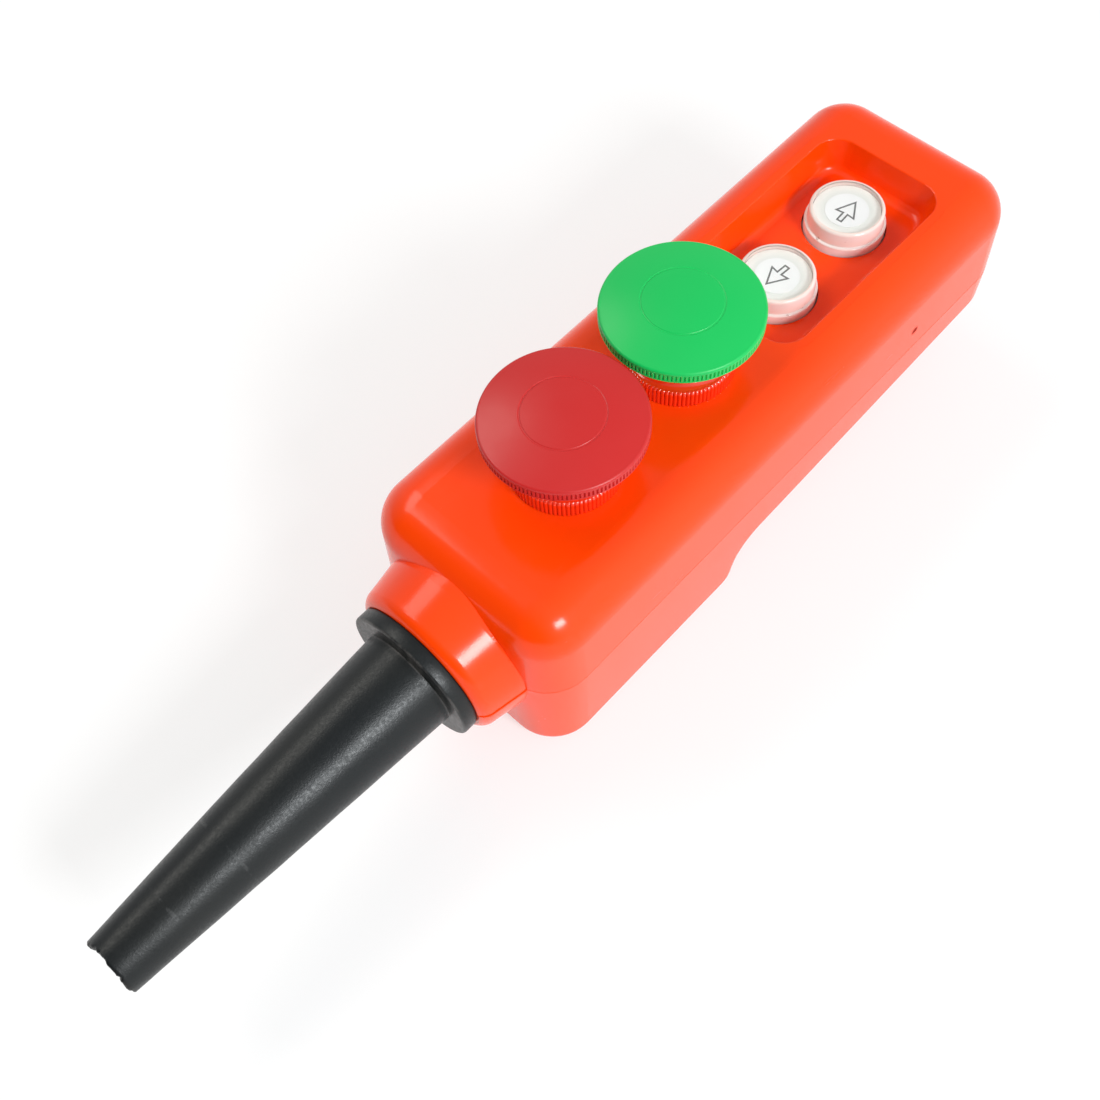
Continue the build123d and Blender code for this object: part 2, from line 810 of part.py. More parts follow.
mushroom_button("stop", stop_x, stop_edge_z, normally_open=False)
mushroom_button("start", start_x, start_edge_z, normally_open=True)


# ---- White arrow buttons: down (nearer the cord) and up ----

frame_block_screw_x = (button_block_half_length + button_well_half_length) / 2
cap_ceiling_z = cap_top_z - cap_roof

with BuildPart() as button_frame:
    frame_plane = Plane(origin=((frame_near_x + frame_far_x) / 2, 0, frame_bottom_z))
    with BuildSketch(frame_plane):
        RectangleRounded(frame_far_x - frame_near_x, 2 * frame_half_width, frame_corner)
    extrude(amount=frame_top_z - frame_bottom_z)
    with BuildSketch(Plane.XY.offset(frame_bottom_z + frame_floor)):
        with Locations((down_x, 0), (up_x, 0)):
            Circle(frame_well_radius)
    extrude(amount=frame_top_z - frame_bottom_z, mode=Mode.SUBTRACT)
    with BuildSketch(Plane.XY.offset(frame_top_z - frame_post)):
        with Locations(*frame_screw_spots):
            Circle(frame_post_radius + frame_post_fit)
    extrude(amount=frame_post, mode=Mode.SUBTRACT)
    with BuildSketch(Plane.XY.offset(frame_bottom_z)):
        with Locations((down_x, 0), (up_x, 0)):
            Circle(plunger_radius + running_gap)
        with Locations(*frame_screw_spots):
            Circle(frame_screw_radius + screw_slack)
    extrude(amount=frame_top_z - frame_bottom_z, mode=Mode.SUBTRACT)
    with BuildSketch(Plane.XY.offset(frame_bottom_z)):
        for button_x in (down_x, up_x):
            with Locations((button_x - frame_block_screw_x, 0), (button_x + frame_block_screw_x, 0)):
                Circle(block_screw_radius + screw_fit)
    extrude(amount=frame_floor, mode=Mode.SUBTRACT)
keep(button_frame, "button_frame")


def arrow_button(name, x):
    """Clear lens, white cap, legend, plunger, spring and switch block of one button."""
    section = upright(x)
    turning = vertical(x)

    with BuildPart() as lens:
        with BuildSketch(section):
            with BuildLine():
                rim = (lens_top_radius - lens_rim_round, lens_top_z)
                brow = (lens_top_radius, lens_top_z - lens_rim_round)
                ledge = (lens_skirt_radius - lens_ledge_round, lens_step_z)
                skirt = (lens_skirt_radius, lens_step_z - lens_ledge_round)
                Line((0, lens_top_z), rim)
                RadiusArc(rim, brow, lens_rim_round)
                Polyline(brow, (lens_waist_radius, lens_step_z), ledge)
                RadiusArc(ledge, skirt, lens_ledge_round)
                Polyline(
                    skirt,
                    (lens_skirt_radius, lens_flange_z + lens_flange),
                    (lens_flange_radius, lens_flange_z + lens_flange),
                    (lens_flange_radius, lens_flange_z),
                    (lens_bore_radius, lens_flange_z),
                    (lens_bore_radius, lens_top_z - lens_roof),
                    (0, lens_top_z - lens_roof),
                    (0, lens_top_z),
                )
            make_face()
        revolve(axis=turning)
    keep(lens, f"{name}_lens")

    with BuildPart() as cap:
        with BuildSketch(Plane(origin=(x, 0, cap_bottom_z))):
            Circle(cap_radius)
        extrude(amount=cap_top_z - cap_bottom_z)
        fillet(cap.edges().group_by(Axis.Z)[-1], radius=cap_edge_round)
        with BuildSketch(Plane(origin=(x, 0, cap_top_z))):
            Circle(legend_radius)
        extrude(amount=-legend_height / 2, mode=Mode.SUBTRACT)
        with BuildSketch(Plane(origin=(x, 0, cap_bottom_z))):
            Circle(cap_bore_radius)
        extrude(amount=cap_ceiling_z - cap_bottom_z, mode=Mode.SUBTRACT)
        with BuildSketch(Plane(origin=(x, 0, cap_ceiling_z))):
            Circle(plunger_radius)
        extrude(amount=plunger_grip, mode=Mode.SUBTRACT)
    keep(cap, f"{name}_cap")

    with BuildPart() as legend:
        with BuildSketch(Plane(origin=(x, 0, cap_top_z - legend_height / 2))):
            Circle(legend_radius)
        extrude(amount=legend_height)
    keep(legend, f"{name}_legend")

    bridge_z, carrier_radius = switch_block(
        name, x, frame_bottom_z, button_block_height, button_block_half_length, button_well_half_length,
        button_block_height - block_screw_head + frame_floor, True, button_travel,
    )
    with BuildPart() as plunger:
        with BuildSketch(section):
            with BuildLine():
                Polyline(
                    (0, cap_ceiling_z + plunger_grip),
                    (plunger_radius, cap_ceiling_z + plunger_grip),
                    (plunger_radius, bridge_z + bridge_thick + plunger_play),
                    (carrier_radius, bridge_z + bridge_thick + plunger_play),
                    (carrier_radius, bridge_z - carrier_end),
                    (0, bridge_z - carrier_end),
                    close=True,
                )
            make_face()
        revolve(axis=turning)
    keep(plunger, f"{name}_plunger")

    coil_spring(
        f"{name}_spring", x, frame_bottom_z + frame_floor, cap_ceiling_z,
        (plunger_radius + cap_bore_radius) / 2, button_spring_wire, button_spring_turns,
    )


arrow_button("down", down_x)
arrow_button("up", up_x)
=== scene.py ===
import math

import bmesh
import bpy
from mathutils import Matrix, Vector, noise


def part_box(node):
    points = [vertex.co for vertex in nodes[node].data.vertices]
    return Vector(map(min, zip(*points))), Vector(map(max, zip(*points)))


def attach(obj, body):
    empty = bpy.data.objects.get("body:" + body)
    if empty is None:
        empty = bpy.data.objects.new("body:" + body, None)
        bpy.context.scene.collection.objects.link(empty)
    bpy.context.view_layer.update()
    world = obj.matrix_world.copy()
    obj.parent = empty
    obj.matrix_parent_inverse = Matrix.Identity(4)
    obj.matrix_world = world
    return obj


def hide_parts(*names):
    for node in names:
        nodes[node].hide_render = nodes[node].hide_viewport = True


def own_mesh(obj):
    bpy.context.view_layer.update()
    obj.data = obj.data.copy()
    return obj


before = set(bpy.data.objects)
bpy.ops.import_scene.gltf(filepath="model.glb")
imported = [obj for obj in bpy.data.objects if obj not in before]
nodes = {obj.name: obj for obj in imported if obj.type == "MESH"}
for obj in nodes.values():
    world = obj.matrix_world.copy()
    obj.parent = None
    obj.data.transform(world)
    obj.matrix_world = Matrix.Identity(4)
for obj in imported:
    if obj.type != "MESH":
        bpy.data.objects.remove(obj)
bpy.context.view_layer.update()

MM = 0.001

bpy.context.scene.view_settings.view_transform = "Standard"


# ---- Places worked out from the frame, in millimetres ----

def plan_centre(low, high):
    """Middle of a box seen from above, in the box's own unit."""
    return ((low.x + high.x) / 2, (low.y + high.y) / 2)


big_buttons = ("start", "stop")
white_buttons = ("up", "down")

sleeve_low, sleeve_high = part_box("cable_sleeve")
tip_x = sleeve_low.x / MM
plug_end_x = sleeve_high.x / MM
cord_axis_z = (sleeve_low.z + sleeve_high.z) / 2 / MM
flange_radius = (sleeve_high.z - sleeve_low.z) / 2 / MM

collar_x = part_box("front_cover")[0].x / MM
flange_thickness = 4.15
flange_x = collar_x - flange_thickness

cover_top_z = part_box("up_lens")[1].z / MM
ledge_depth = 4.5
cover_ledge_z = cover_top_z - ledge_depth
cap_top_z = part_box("up_cap")[1].z / MM
white_axes = [
    [place / MM for place in plan_centre(*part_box(f"{side}_lens"))]
    for side in white_buttons
]


# ---- Node helpers ----

class Shader:
    """A material whose nodes are added one by one to a Principled shader."""

    def __init__(self, name, color, roughness, **sockets):
        self.material = bpy.data.materials.new(name)
        self.material.use_nodes = True
        self.tree = self.material.node_tree
        self.bsdf = self.tree.nodes["Principled BSDF"]
        self.bsdf.inputs["Base Color"].default_value = (*color, 1.0)
        self.bsdf.inputs["Roughness"].default_value = roughness
        for key, value in sockets.items():
            self.bsdf.inputs[key.replace("_", " ")].default_value = value
        self.point = self.add("ShaderNodeTexCoord").outputs["Object"]

    def add(self, kind, **values):
        """A node with its sockets or settings set by name."""
        node = self.tree.nodes.new(kind)
        for key, value in values.items():
            if key in node.inputs:
                node.inputs[key].default_value = value
            else:
                setattr(node, key, value)
        return node

    def link(self, source, target):
        self.tree.links.new(source, target)

    def noise(self, scale, detail=3.0, roughness=0.55, stretch=None):
        """Noise from 0 to 1; a stretch below 1 on an axis draws it out along that axis."""
        node = self.add("ShaderNodeTexNoise", Scale=scale, Detail=detail, Roughness=roughness)
        source = self.point
        if stretch is not None:
            mapping = self.add("ShaderNodeMapping")
            mapping.inputs["Scale"].default_value = stretch
            self.link(source, mapping.inputs["Vector"])
            source = mapping.outputs["Vector"]
        self.link(source, node.inputs["Vector"])
        return node.outputs["Fac"]

    def ramp(self, source, over, to=(0.0, 1.0)):
        """Maps a value from the span over to the span to, and holds it at the ends."""
        node = self.add("ShaderNodeMapRange")
        self.link(source, node.inputs["Value"])
        for label, span in (("From", over), ("To", to)):
            node.inputs[f"{label} Min"].default_value = span[0]
            node.inputs[f"{label} Max"].default_value = span[1]
        return node.outputs["Result"]

    def along(self, letter, start, end, to=(0.0, 1.0)):
        """Ramp along one coordinate, from start to end in millimetres."""
        node = self.add("ShaderNodeSeparateXYZ")
        self.link(self.point, node.inputs["Vector"])
        return self.ramp(node.outputs[letter], over=(start * MM, end * MM), to=to)

    def band(self, letter, low, high):
        """1 between two levels of a coordinate, in millimetres, and 0 outside, with soft edges."""
        soft = 0.2 * (high - low)
        rise = self.along(letter, low - soft, low + soft)
        fall = self.along(letter, high - soft, high + soft, to=(1.0, 0.0))
        return self.product(rise, fall)

    def near(self, centre, radius):
        """1 at a point, fading to 0 at radius, both in millimetres."""
        node = self.add("ShaderNodeVectorMath", operation="DISTANCE")
        self.link(self.point, node.inputs[0])
        node.inputs[1].default_value = Vector(centre) * MM
        return self.ramp(node.outputs["Value"], over=(0.0, radius * MM), to=(1.0, 0.0))

    def combine(self, operation, first, second):
        """Two values put together; each is a number or a socket."""
        node = self.add("ShaderNodeMath", operation=operation)
        for socket, value in zip(node.inputs, (first, second)):
            if isinstance(value, float):
                socket.default_value = value
            else:
                self.link(value, socket)
        return node.outputs["Value"]

    def product(self, first, second):
        return self.combine("MULTIPLY", first, second)

    def total(self, first, second):
        return self.combine("ADD", first, second)

    def mix(self, share, first, second):
        """Colour mixed by share; first and second are colours or sockets."""
        node = self.add("ShaderNodeMix", data_type="RGBA")
        self.link(share, node.inputs["Factor"])
        for key, value in (("A", first), ("B", second)):
            socket = [s for s in node.inputs if s.name == key and s.type == "RGBA"][0]
            if isinstance(value, tuple):
                socket.default_value = (*value, 1.0)
            else:
                self.link(value, socket)
        return [s for s in node.outputs if s.type == "RGBA"][0]

    def drift(self, scale, first, second):
        """Slow, cloudy change from one colour to another."""
        return self.mix(self.ramp(self.noise(scale), over=(0.35, 0.7)), first, second)

    def color(self, socket):
        self.link(socket, self.bsdf.inputs["Base Color"])

    def roughness(self, socket):
        self.link(socket, self.bsdf.inputs["Roughness"])

    def emboss(self, height, strength, depth):
        """Fine relief from a value; depth is in millimetres."""
        node = self.add("ShaderNodeBump", Strength=strength, Distance=depth * MM)
        self.link(height, node.inputs["Height"])
        self.link(node.outputs["Normal"], self.bsdf.inputs["Normal"])

    def orange_peel(self, strength):
        """The faint ripple of a moulded surface."""
        self.emboss(self.noise(650.0, detail=2.0), strength, depth=0.1)


def paint(material, *names):
    """Gives CAD nodes a material."""
    for name in names:
        slots = nodes[name].data.materials
        slots.clear()
        slots.append(material)


# ---- Materials ----

def moulded_plastic(name, color, deep_color, roughness, grain=0.03, **sockets):
    """Moulded plastic: slow colour drift, uneven polish and a faint orange peel."""
    shader = Shader(name, color, roughness, **sockets)
    shader.color(shader.drift(14.0, color, deep_color))
    polish = shader.noise(90.0, detail=4.0)
    shader.roughness(shader.ramp(polish, over=(0.3, 0.7), to=(roughness * 0.85, roughness * 1.25)))
    shader.orange_peel(grain)
    return shader.material


def housing_material():
    """Glossy moulded shell with slow colour drift, hairline scratches and one dark scuff."""
    bright, deep, bruised = (0.96, 0.057, 0.001), (0.93, 0.052, 0.0008), (0.26, 0.012, 0.004)
    scuff_spot, scuff_radius, scuff_depth = (103.5, -31.8, 43.2), 2.2, 1.7
    shader = Shader("housing_orange", bright, roughness=0.17, Specular_IOR_Level=0.31)
    blot = shader.noise(1500.0, detail=4.0, roughness=0.7)
    core = shader.product(shader.near(scuff_spot, scuff_radius), scuff_depth)
    scuff = shader.ramp(shader.product(core, blot), over=(0.28, 0.55), to=(0.0, 0.95))
    shader.color(shader.mix(scuff, shader.drift(14.0, bright, deep), bruised))
    polish = shader.noise(90.0, detail=4.0)
    hairs = shader.noise(420.0, detail=5.0, roughness=0.7, stretch=(0.08, 1.0, 1.0))
    scratches = shader.ramp(hairs, over=(0.60, 0.68), to=(0.0, 0.10))
    dull = shader.product(scratches, shader.ramp(polish, over=(0.45, 0.6)))
    worn = shader.total(shader.ramp(polish, over=(0.3, 0.7), to=(0.145, 0.21)), dull)
    shader.roughness(shader.total(worn, scuff))
    shader.orange_peel(strength=0.01)
    return shader.material


def cover_wall_material():
    """Side of the clear covers: the orange round it is painted into its colour as a painted reflection;
    it is painted paler on the skirt to offset shade, with a painted highlight on the upper wall and
    along the ledge and a thin band of painted shade round the inner rim.
    """
    skirt, wall, upper = (0.98, 0.94, 0.92), (0.96, 0.85, 0.79), (0.96, 0.91, 0.87)
    brim, lip, ledge = (0.94, 0.83, 0.77), (0.90, 0.68, 0.61), (0.96, 0.90, 0.86)
    cloudy, grimy = (0.95, 0.86, 0.80), (0.30, 0.09, 0.05)
    shader = Shader("milky_lens", (0.84, 0.50, 0.41), roughness=0.08, Transmission_Weight=0.18, IOR=1.49)
    # Painted light: the skirt below the ledge is paler to offset the shade and orange bounce it gets.
    tone = shader.mix(shader.along("Z", cover_ledge_z - 1.1, cover_ledge_z - 0.3), skirt, wall)
    # Painted highlight: the upper wall is paler.
    tone = shader.mix(shader.along("Z", cover_top_z - 3.3, cover_top_z - 1.3), tone, upper)
    tone = shader.mix(shader.along("Z", cover_top_z - 0.6, cover_top_z - 0.1), tone, brim)
    # Painted shade: a darker, pinker band round the inner rim near the top.
    for axis in white_axes:
        inside = shader.near((*axis, cover_top_z), radius=10.0)
        tone = shader.mix(shader.ramp(inside, over=(0.050, 0.065)), tone, lip)
    # Painted highlight: a pale band along the ledge.
    tone = shader.mix(shader.band("Z", cover_ledge_z - 0.3, cover_ledge_z + 0.2), tone, ledge)
    clouds = shader.noise(120.0)
    tone = shader.mix(shader.ramp(clouds, over=(0.4, 0.7), to=(0.0, 0.5)), tone, cloudy)
    grime = shader.noise(420.0, detail=4.0, roughness=0.7)
    shader.color(shader.mix(shader.ramp(grime, over=(0.66, 0.74), to=(0.0, 0.6)), tone, grimy))
    shader.roughness(shader.ramp(clouds, over=(0.3, 0.7), to=(0.06, 0.12)))
    return shader.material


def cap_material():
    """White cap under the clear cover, painted creamier and lighter towards its outer rim: painted light
    that offsets the shade the cover wall casts on it.
    """
    white, shaded, painted_light_cream = (0.74, 0.75, 0.715), (0.71, 0.725, 0.68), (0.93, 0.905, 0.85)
    shader = Shader("cap_white", white, roughness=0.35)
    tone = shader.drift(30.0, white, shaded)
    for axis in white_axes:
        inside = shader.near((*axis, cap_top_z - 0.9), radius=10.0)
        # Painted light: the cap's outer ring is lightened against the shade of the cover wall.
        outwards = shader.ramp(inside, over=(0.12, 0.34), to=(1.0, 0.0))
        painted_light_share = shader.product(outwards, shader.ramp(inside, over=(0.0, 0.02)))
        tone = shader.mix(painted_light_share, tone, painted_light_cream)
    shader.color(tone)
    return shader.material


def metal(name, color, roughness, grain_stretch):
    """Worn metal with drawn streaks and patchy dulling."""
    shader = Shader(name, color, roughness, Metallic=1.0)
    patches = shader.noise(160.0, detail=4.0)
    darker = tuple(0.8 * channel for channel in color)
    shader.color(shader.mix(shader.ramp(patches, over=(0.4, 0.7)), color, darker))
    streaks = shader.noise(900.0, detail=2.0, stretch=grain_stretch)
    shader.roughness(shader.ramp(streaks, over=(0.3, 0.7), to=(roughness * 0.8, roughness * 1.3)))
    shader.emboss(streaks, strength=0.1, depth=0.03)
    return shader.material


def sleeve_rubber_material():
    """Black moulded rubber: satin grain, a dusty flange, two ring marks and a raw cut end."""
    dark, rubbed = (0.0040, 0.0062, 0.0074), (0.0095, 0.0106, 0.0102)
    dusty, marked, raw = (0.075, 0.070, 0.066), (0.06, 0.062, 0.063), (0.004, 0.004, 0.004)
    shader = Shader("sleeve_rubber", (0.012, 0.013, 0.014), roughness=0.4, Specular_IOR_Level=0.31)
    rub = shader.noise(45.0, detail=5.0, stretch=(0.35, 1.0, 1.0))
    tone = shader.mix(shader.ramp(rub, over=(0.42, 0.72)), dark, rubbed)
    scuffs = shader.noise(260.0, detail=6.0, roughness=0.7, stretch=(1.0, 1.0, 0.25))
    flange_face = shader.band("X", flange_x - 0.35, flange_x + 0.45)
    dust = shader.product(shader.ramp(scuffs, over=(0.42, 0.62), to=(0.10, 0.85)), flange_face)
    tone = shader.mix(dust, tone, dusty)
    half_ring = 0.4
    for ring_x in (tip_x + 17.3, tip_x + 34.9):
        ring = shader.band("X", ring_x - half_ring, ring_x + half_ring)
        mark = shader.product(shader.ramp(scuffs, over=(0.5, 0.6), to=(0.0, 0.5)), ring)
        tone = shader.mix(mark, tone, marked)
    cut_end = shader.along("X", tip_x + 0.6, tip_x + 1.4, to=(1.0, 0.0))
    shader.color(shader.mix(cut_end, tone, raw))
    satin = shader.ramp(rub, over=(0.35, 0.7), to=(0.27, 0.36))
    mottle = shader.noise(1300.0, detail=4.0, roughness=0.6)
    shader.roughness(shader.total(satin, shader.ramp(mottle, over=(0.35, 0.65), to=(0.0, 0.14))))
    shader.emboss(shader.noise(2300.0), strength=0.6, depth=0.07)
    return shader.material


housing_orange = housing_material()
bezel_orange = moulded_plastic(
    "bezel_orange",
    color=(0.90, 0.036, 0.005),
    deep_color=(0.82, 0.03, 0.004),
    roughness=0.07,
    grain=0.01,
    Specular_IOR_Level=1.0,
)
start_green = moulded_plastic(
    "start_green",
    color=(0.006, 0.505, 0.098),
    deep_color=(0.004, 0.48, 0.093),
    roughness=0.34,
    Specular_IOR_Level=0.36,
)
stop_red = moulded_plastic(
    "stop_red",
    color=(0.535, 0.019, 0.018),
    deep_color=(0.505, 0.0175, 0.017),
    roughness=0.32,
    Specular_IOR_Level=0.36,
)
clear_lens = moulded_plastic(
    "clear_lens",
    color=(1.0, 1.0, 1.0),
    deep_color=(0.99, 0.99, 0.985),
    roughness=0.05,
    grain=0.01,
    Alpha=0.09,
)
legend_white = moulded_plastic("legend_white", (0.83, 0.835, 0.835), (0.80, 0.805, 0.805), roughness=0.5)
arrow_grey = moulded_plastic("arrow_grey", (0.012, 0.013, 0.011), (0.022, 0.022, 0.02), roughness=0.6)
inner_black = moulded_plastic("inner_black", (0.02, 0.02, 0.021), (0.03, 0.03, 0.031), roughness=0.45)
seal_rubber = moulded_plastic("seal_rubber", (0.02, 0.02, 0.02), (0.028, 0.028, 0.028), roughness=0.7)
milky_lens = cover_wall_material()
cap_white = cap_material()
contact_brass = metal("contact_brass", (0.80, 0.58, 0.26), roughness=0.28, grain_stretch=(1.0, 0.1, 1.0))
spring_steel = metal("spring_steel", (0.60, 0.61, 0.63), roughness=0.3, grain_stretch=(1.0, 1.0, 0.2))
screw_steel = metal("screw_steel", (0.66, 0.66, 0.68), roughness=0.32, grain_stretch=(1.0, 1.0, 0.3))
clamp_steel = metal("clamp_steel", (0.58, 0.58, 0.60), roughness=0.38, grain_stretch=(0.1, 1.0, 1.0))
sleeve_rubber = sleeve_rubber_material()

paint(housing_orange, "front_cover", "rear_shell")
paint(seal_rubber, "housing_gasket", "start_panel_seal", "stop_panel_seal")
paint(sleeve_rubber, "cable_sleeve")
paint(start_green, "start_head")
paint(stop_red, "stop_head")
paint(bezel_orange, "start_bezel", "stop_bezel")
paint(cap_white, "up_cap", "down_cap")
paint(legend_white, "up_legend", "down_legend")
paint(clamp_steel, "cord_clamp")
for node_name in nodes:
    if node_name.endswith("_screws"):
        paint(screw_steel, node_name)
    elif node_name.endswith("_spring"):
        paint(spring_steel, node_name)
    elif node_name.endswith(("_fixed_contacts", "_contact_bridge")):
        paint(contact_brass, node_name)
    elif node_name.endswith(("_barrel", "_stem", "_plunger", "_switch_block", "_frame")):
        paint(inner_black, node_name)


# ---- Mesh helpers ----

def add_piece(name, mesh, body, *materials):
    """Puts a finished mesh in the scene with its materials, riding on a body."""
    obj = bpy.data.objects.new(name, mesh)
    bpy.context.scene.collection.objects.link(obj)
    for material in materials:
        mesh.materials.append(material)
    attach(obj, body)
    return obj


def soften(obj, angle):
    """Smooth shading that keeps edges sharper than angle, in degrees."""
    obj.data.set_sharp_from_angle(angle=math.radians(angle))


def finished_mesh(name, bm):
    """Mesh with all its faces looking outwards."""
    mesh = bpy.data.meshes.new(name)
    bmesh.ops.recalc_face_normals(bm, faces=bm.faces)
    bm.to_mesh(mesh)
    bm.free()
    return mesh


def rounded(points, steps=5):
    """A profile of (radius, height, fillet) points with its corners rounded by arcs."""
    spots = [Vector(point[:2]) for point in points]
    profile = []
    for index, here in enumerate(spots):
        fillet = points[index][2]
        if not fillet:
            profile.append(here)
            continue
        before = (spots[index - 1] - here).normalized()
        after = (spots[index + 1] - here).normalized()
        half = before.angle(after) / 2
        centre = here + (before + after).normalized() * (fillet / math.sin(half))
        start = here + before * (fillet / math.tan(half)) - centre
        sweep = (here + after * (fillet / math.tan(half)) - centre).angle_signed(start)
        for step in range(steps + 1):
            turn = Matrix.Rotation(sweep * step / steps, 2)
            profile.append(centre + turn @ start)
    return profile


def lathe(name, profile, centre, segments=128):
    """Mesh of a profile in millimetres, turned about an upright axis; a point on the axis closes it."""
    middle = Vector((*centre, 0.0))
    bm = bmesh.new()
    rings = []
    for radius, height in profile:
        ring = []
        for k in range(segments if radius else 1):
            angle = 2 * math.pi * k / segments
            spot = Vector((radius * math.cos(angle), radius * math.sin(angle), height))
            ring.append(bm.verts.new(middle + spot * MM))
        rings.append(ring)
    for lower, upper in zip(rings, rings[1:]):
        for k in range(segments):
            n = (k + 1) % segments
            corners = [lower[k % len(lower)], lower[n % len(lower)]]
            corners += [upper[n % len(upper)], upper[k % len(upper)]]
            unique = list(dict.fromkeys(corners))
            if len(unique) > 2:
                bm.faces.new(unique)
    mesh = finished_mesh(name, bm)
    mesh.shade_smooth()
    return mesh


def skin(name, rings, joined):
    """Mesh over rings of points in metres; it runs back to the first ring, or ends in two caps."""
    bm = bmesh.new()
    loops = [[bm.verts.new(point) for point in ring] for ring in rings]
    following = loops[1:] + loops[:1] if joined else loops[1:]
    for first, second in zip(loops, following):
        for k in range(len(first)):
            n = (k + 1) % len(first)
            bm.faces.new((first[k], first[n], second[n], second[k]))
    if not joined:
        bm.faces.new(loops[0])
        bm.faces.new(loops[-1])
    mesh = finished_mesh(name, bm)
    mesh.shade_smooth()
    return mesh


# ---- Cord sleeve: soft, slightly bent, its tip cut by hand ----

def sleeve_profile():
    """(x, radius) points round the sleeve's wall: bore, tip, taper, flange and plug."""
    tip_radius, root_radius, lip, swell = 7.75, 13.6, 0.35, 0.18
    bore_radius, bore_depth, root_bore_radius = 4.9, 14.0, 11.4
    neck_radius, neck_end_x, plug_radius = 15.2, collar_x + 3.6, 18.1
    rows = [(tip_x + bore_depth, bore_radius), (tip_x + 1.2, bore_radius)]
    rows += [(tip_x + lip, bore_radius + 0.5), (tip_x, bore_radius + 1.5)]
    rows += [(tip_x, tip_radius - lip), (tip_x + lip, tip_radius)]
    taper_start_x, taper_end_x, stations = tip_x + lip, flange_x - 1.2, 110
    for k in range(1, stations + 1):
        share = k / stations
        radius = tip_radius + (root_radius - tip_radius) * share + swell * math.sin(math.pi * share)
        rows.append((taper_start_x + (taper_end_x - taper_start_x) * share, radius))
    root_fillet = ((-0.25, 0.03), (-0.06, 0.1), (0.0, 0.3), (0.0, 0.5))
    rows += [(flange_x + across, root_radius + out) for across, out in root_fillet]
    front_edge = ((0.0, 1.0), (0.0, 0.75), (0.08, 0.4), (0.3, 0.12), (0.65, 0.0))
    rows += [(flange_x + across, flange_radius - drop) for across, drop in front_edge]
    back_edge = ((-0.6, 0.0), (-0.15, 0.15), (0.0, 0.6))
    rows += [(collar_x + across, flange_radius - drop) for across, drop in back_edge]
    rows += [(collar_x, neck_radius), (neck_end_x, neck_radius), (neck_end_x, plug_radius)]
    rows += [(plug_end_x, plug_radius), (plug_end_x, root_bore_radius), (flange_x, root_bore_radius)]
    return rows


def tip_cut(x, angle):
    """How much the hand-cut end falls short at this place round the tip, in millimetres."""
    reach, even_cut, wave_depth, nick_depth = 3.0, 0.1, 2.1, 0.7
    wave_count, nick_count = 2.1, 6.5
    if x >= tip_x + reach:
        return 0.0
    across, up = math.cos(angle), math.sin(angle)
    wave = wave_depth * noise.noise(Vector((wave_count * across, wave_count * up, 4.7)))
    nick = nick_depth * noise.noise(Vector((nick_count * across, nick_count * up, 1.3)))
    near = 1.0 - (x - tip_x) / reach
    return max(near * (even_cut + wave + nick), 0.0)


def sleeve_lump(x, radius, angle):
    """Slow unevenness of the tapered outside, in millimetres."""
    lump_depth, count_along, count_round, inside_radius = 0.06, 0.12, 2.0, 6.0
    if radius < inside_radius or x >= flange_x:
        return 0.0
    across, up = math.cos(angle), math.sin(angle)
    return lump_depth * noise.noise(Vector((x * count_along, count_round * across, count_round * up)))


def make_sleeve():
    """The sleeve as one closed skin, turned about the cord axis."""
    segments, tip_shift, bend = 120, 0.85, 1.3
    rings = []
    for x, radius in sleeve_profile():
        free = min(max((flange_x - x) / (flange_x - tip_x), 0.0), 1.0)
        ring = []
        for k in range(segments):
            angle = 2 * math.pi * k / segments
            reach = radius + sleeve_lump(x, radius, angle)
            y = reach * math.cos(angle) - tip_shift * free**bend
            z = cord_axis_z + reach * math.sin(angle)
            ring.append(Vector((x + tip_cut(x, angle), y, z)) * MM)
        rings.append(ring)
    mesh = skin("cord_sleeve", rings, joined=True)
    sleeve = add_piece("cord_sleeve", mesh, "housing", sleeve_rubber)
    soften(sleeve, angle=50.0)
    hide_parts("cable_sleeve")


make_sleeve()


# ---- White buttons: clear cover, white cap and printed arrow ----

def make_cover(side):
    """Clear roof on a milky wall, in one turned piece."""
    low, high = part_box(f"{side}_lens")
    centre = plan_centre(low, high)
    foot_z, flange_z = low.z / MM, low.z / MM + 1.5
    dish_z, roof_z = cover_top_z - 0.12, cover_top_z - 0.4
    dish_radius, roof_radius, bore_radius = 7.6, 9.15, 9.25
    rim_radius, wall_radius, skirt_radius, foot_radius = 10.1, 10.3, 11.0, 12.6
    profile = rounded([
        (0.0, dish_z, 0.0),
        (dish_radius, dish_z, 0.0),
        (dish_radius + 0.2, cover_top_z, 0.0),
        (roof_radius, cover_top_z, 0.0),
        (rim_radius, cover_top_z, 0.75),
        (wall_radius, cover_ledge_z, 0.25),
        (skirt_radius, cover_ledge_z, 0.45),
        (skirt_radius, flange_z, 0.3),
        (foot_radius, flange_z, 0.3),
        (foot_radius, foot_z, 0.3),
        (bore_radius, foot_z, 0.0),
        (bore_radius, roof_z, 0.0),
        (roof_radius, roof_z, 0.0),
        (0.0, roof_z, 0.0),
    ])
    mesh = lathe(f"{side}_cover", profile, centre)
    cover = add_piece(f"{side}_cover", mesh, f"{side}_button", clear_lens, milky_lens)
    for face in mesh.polygons:
        reach = math.hypot(face.center.x - centre[0], face.center.y - centre[1])
        in_roof = reach < roof_radius * MM and face.center.z > cap_top_z * MM
        face.material_index = 0 if in_roof else 1
    soften(cover, angle=45.0)
    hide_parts(f"{side}_lens")


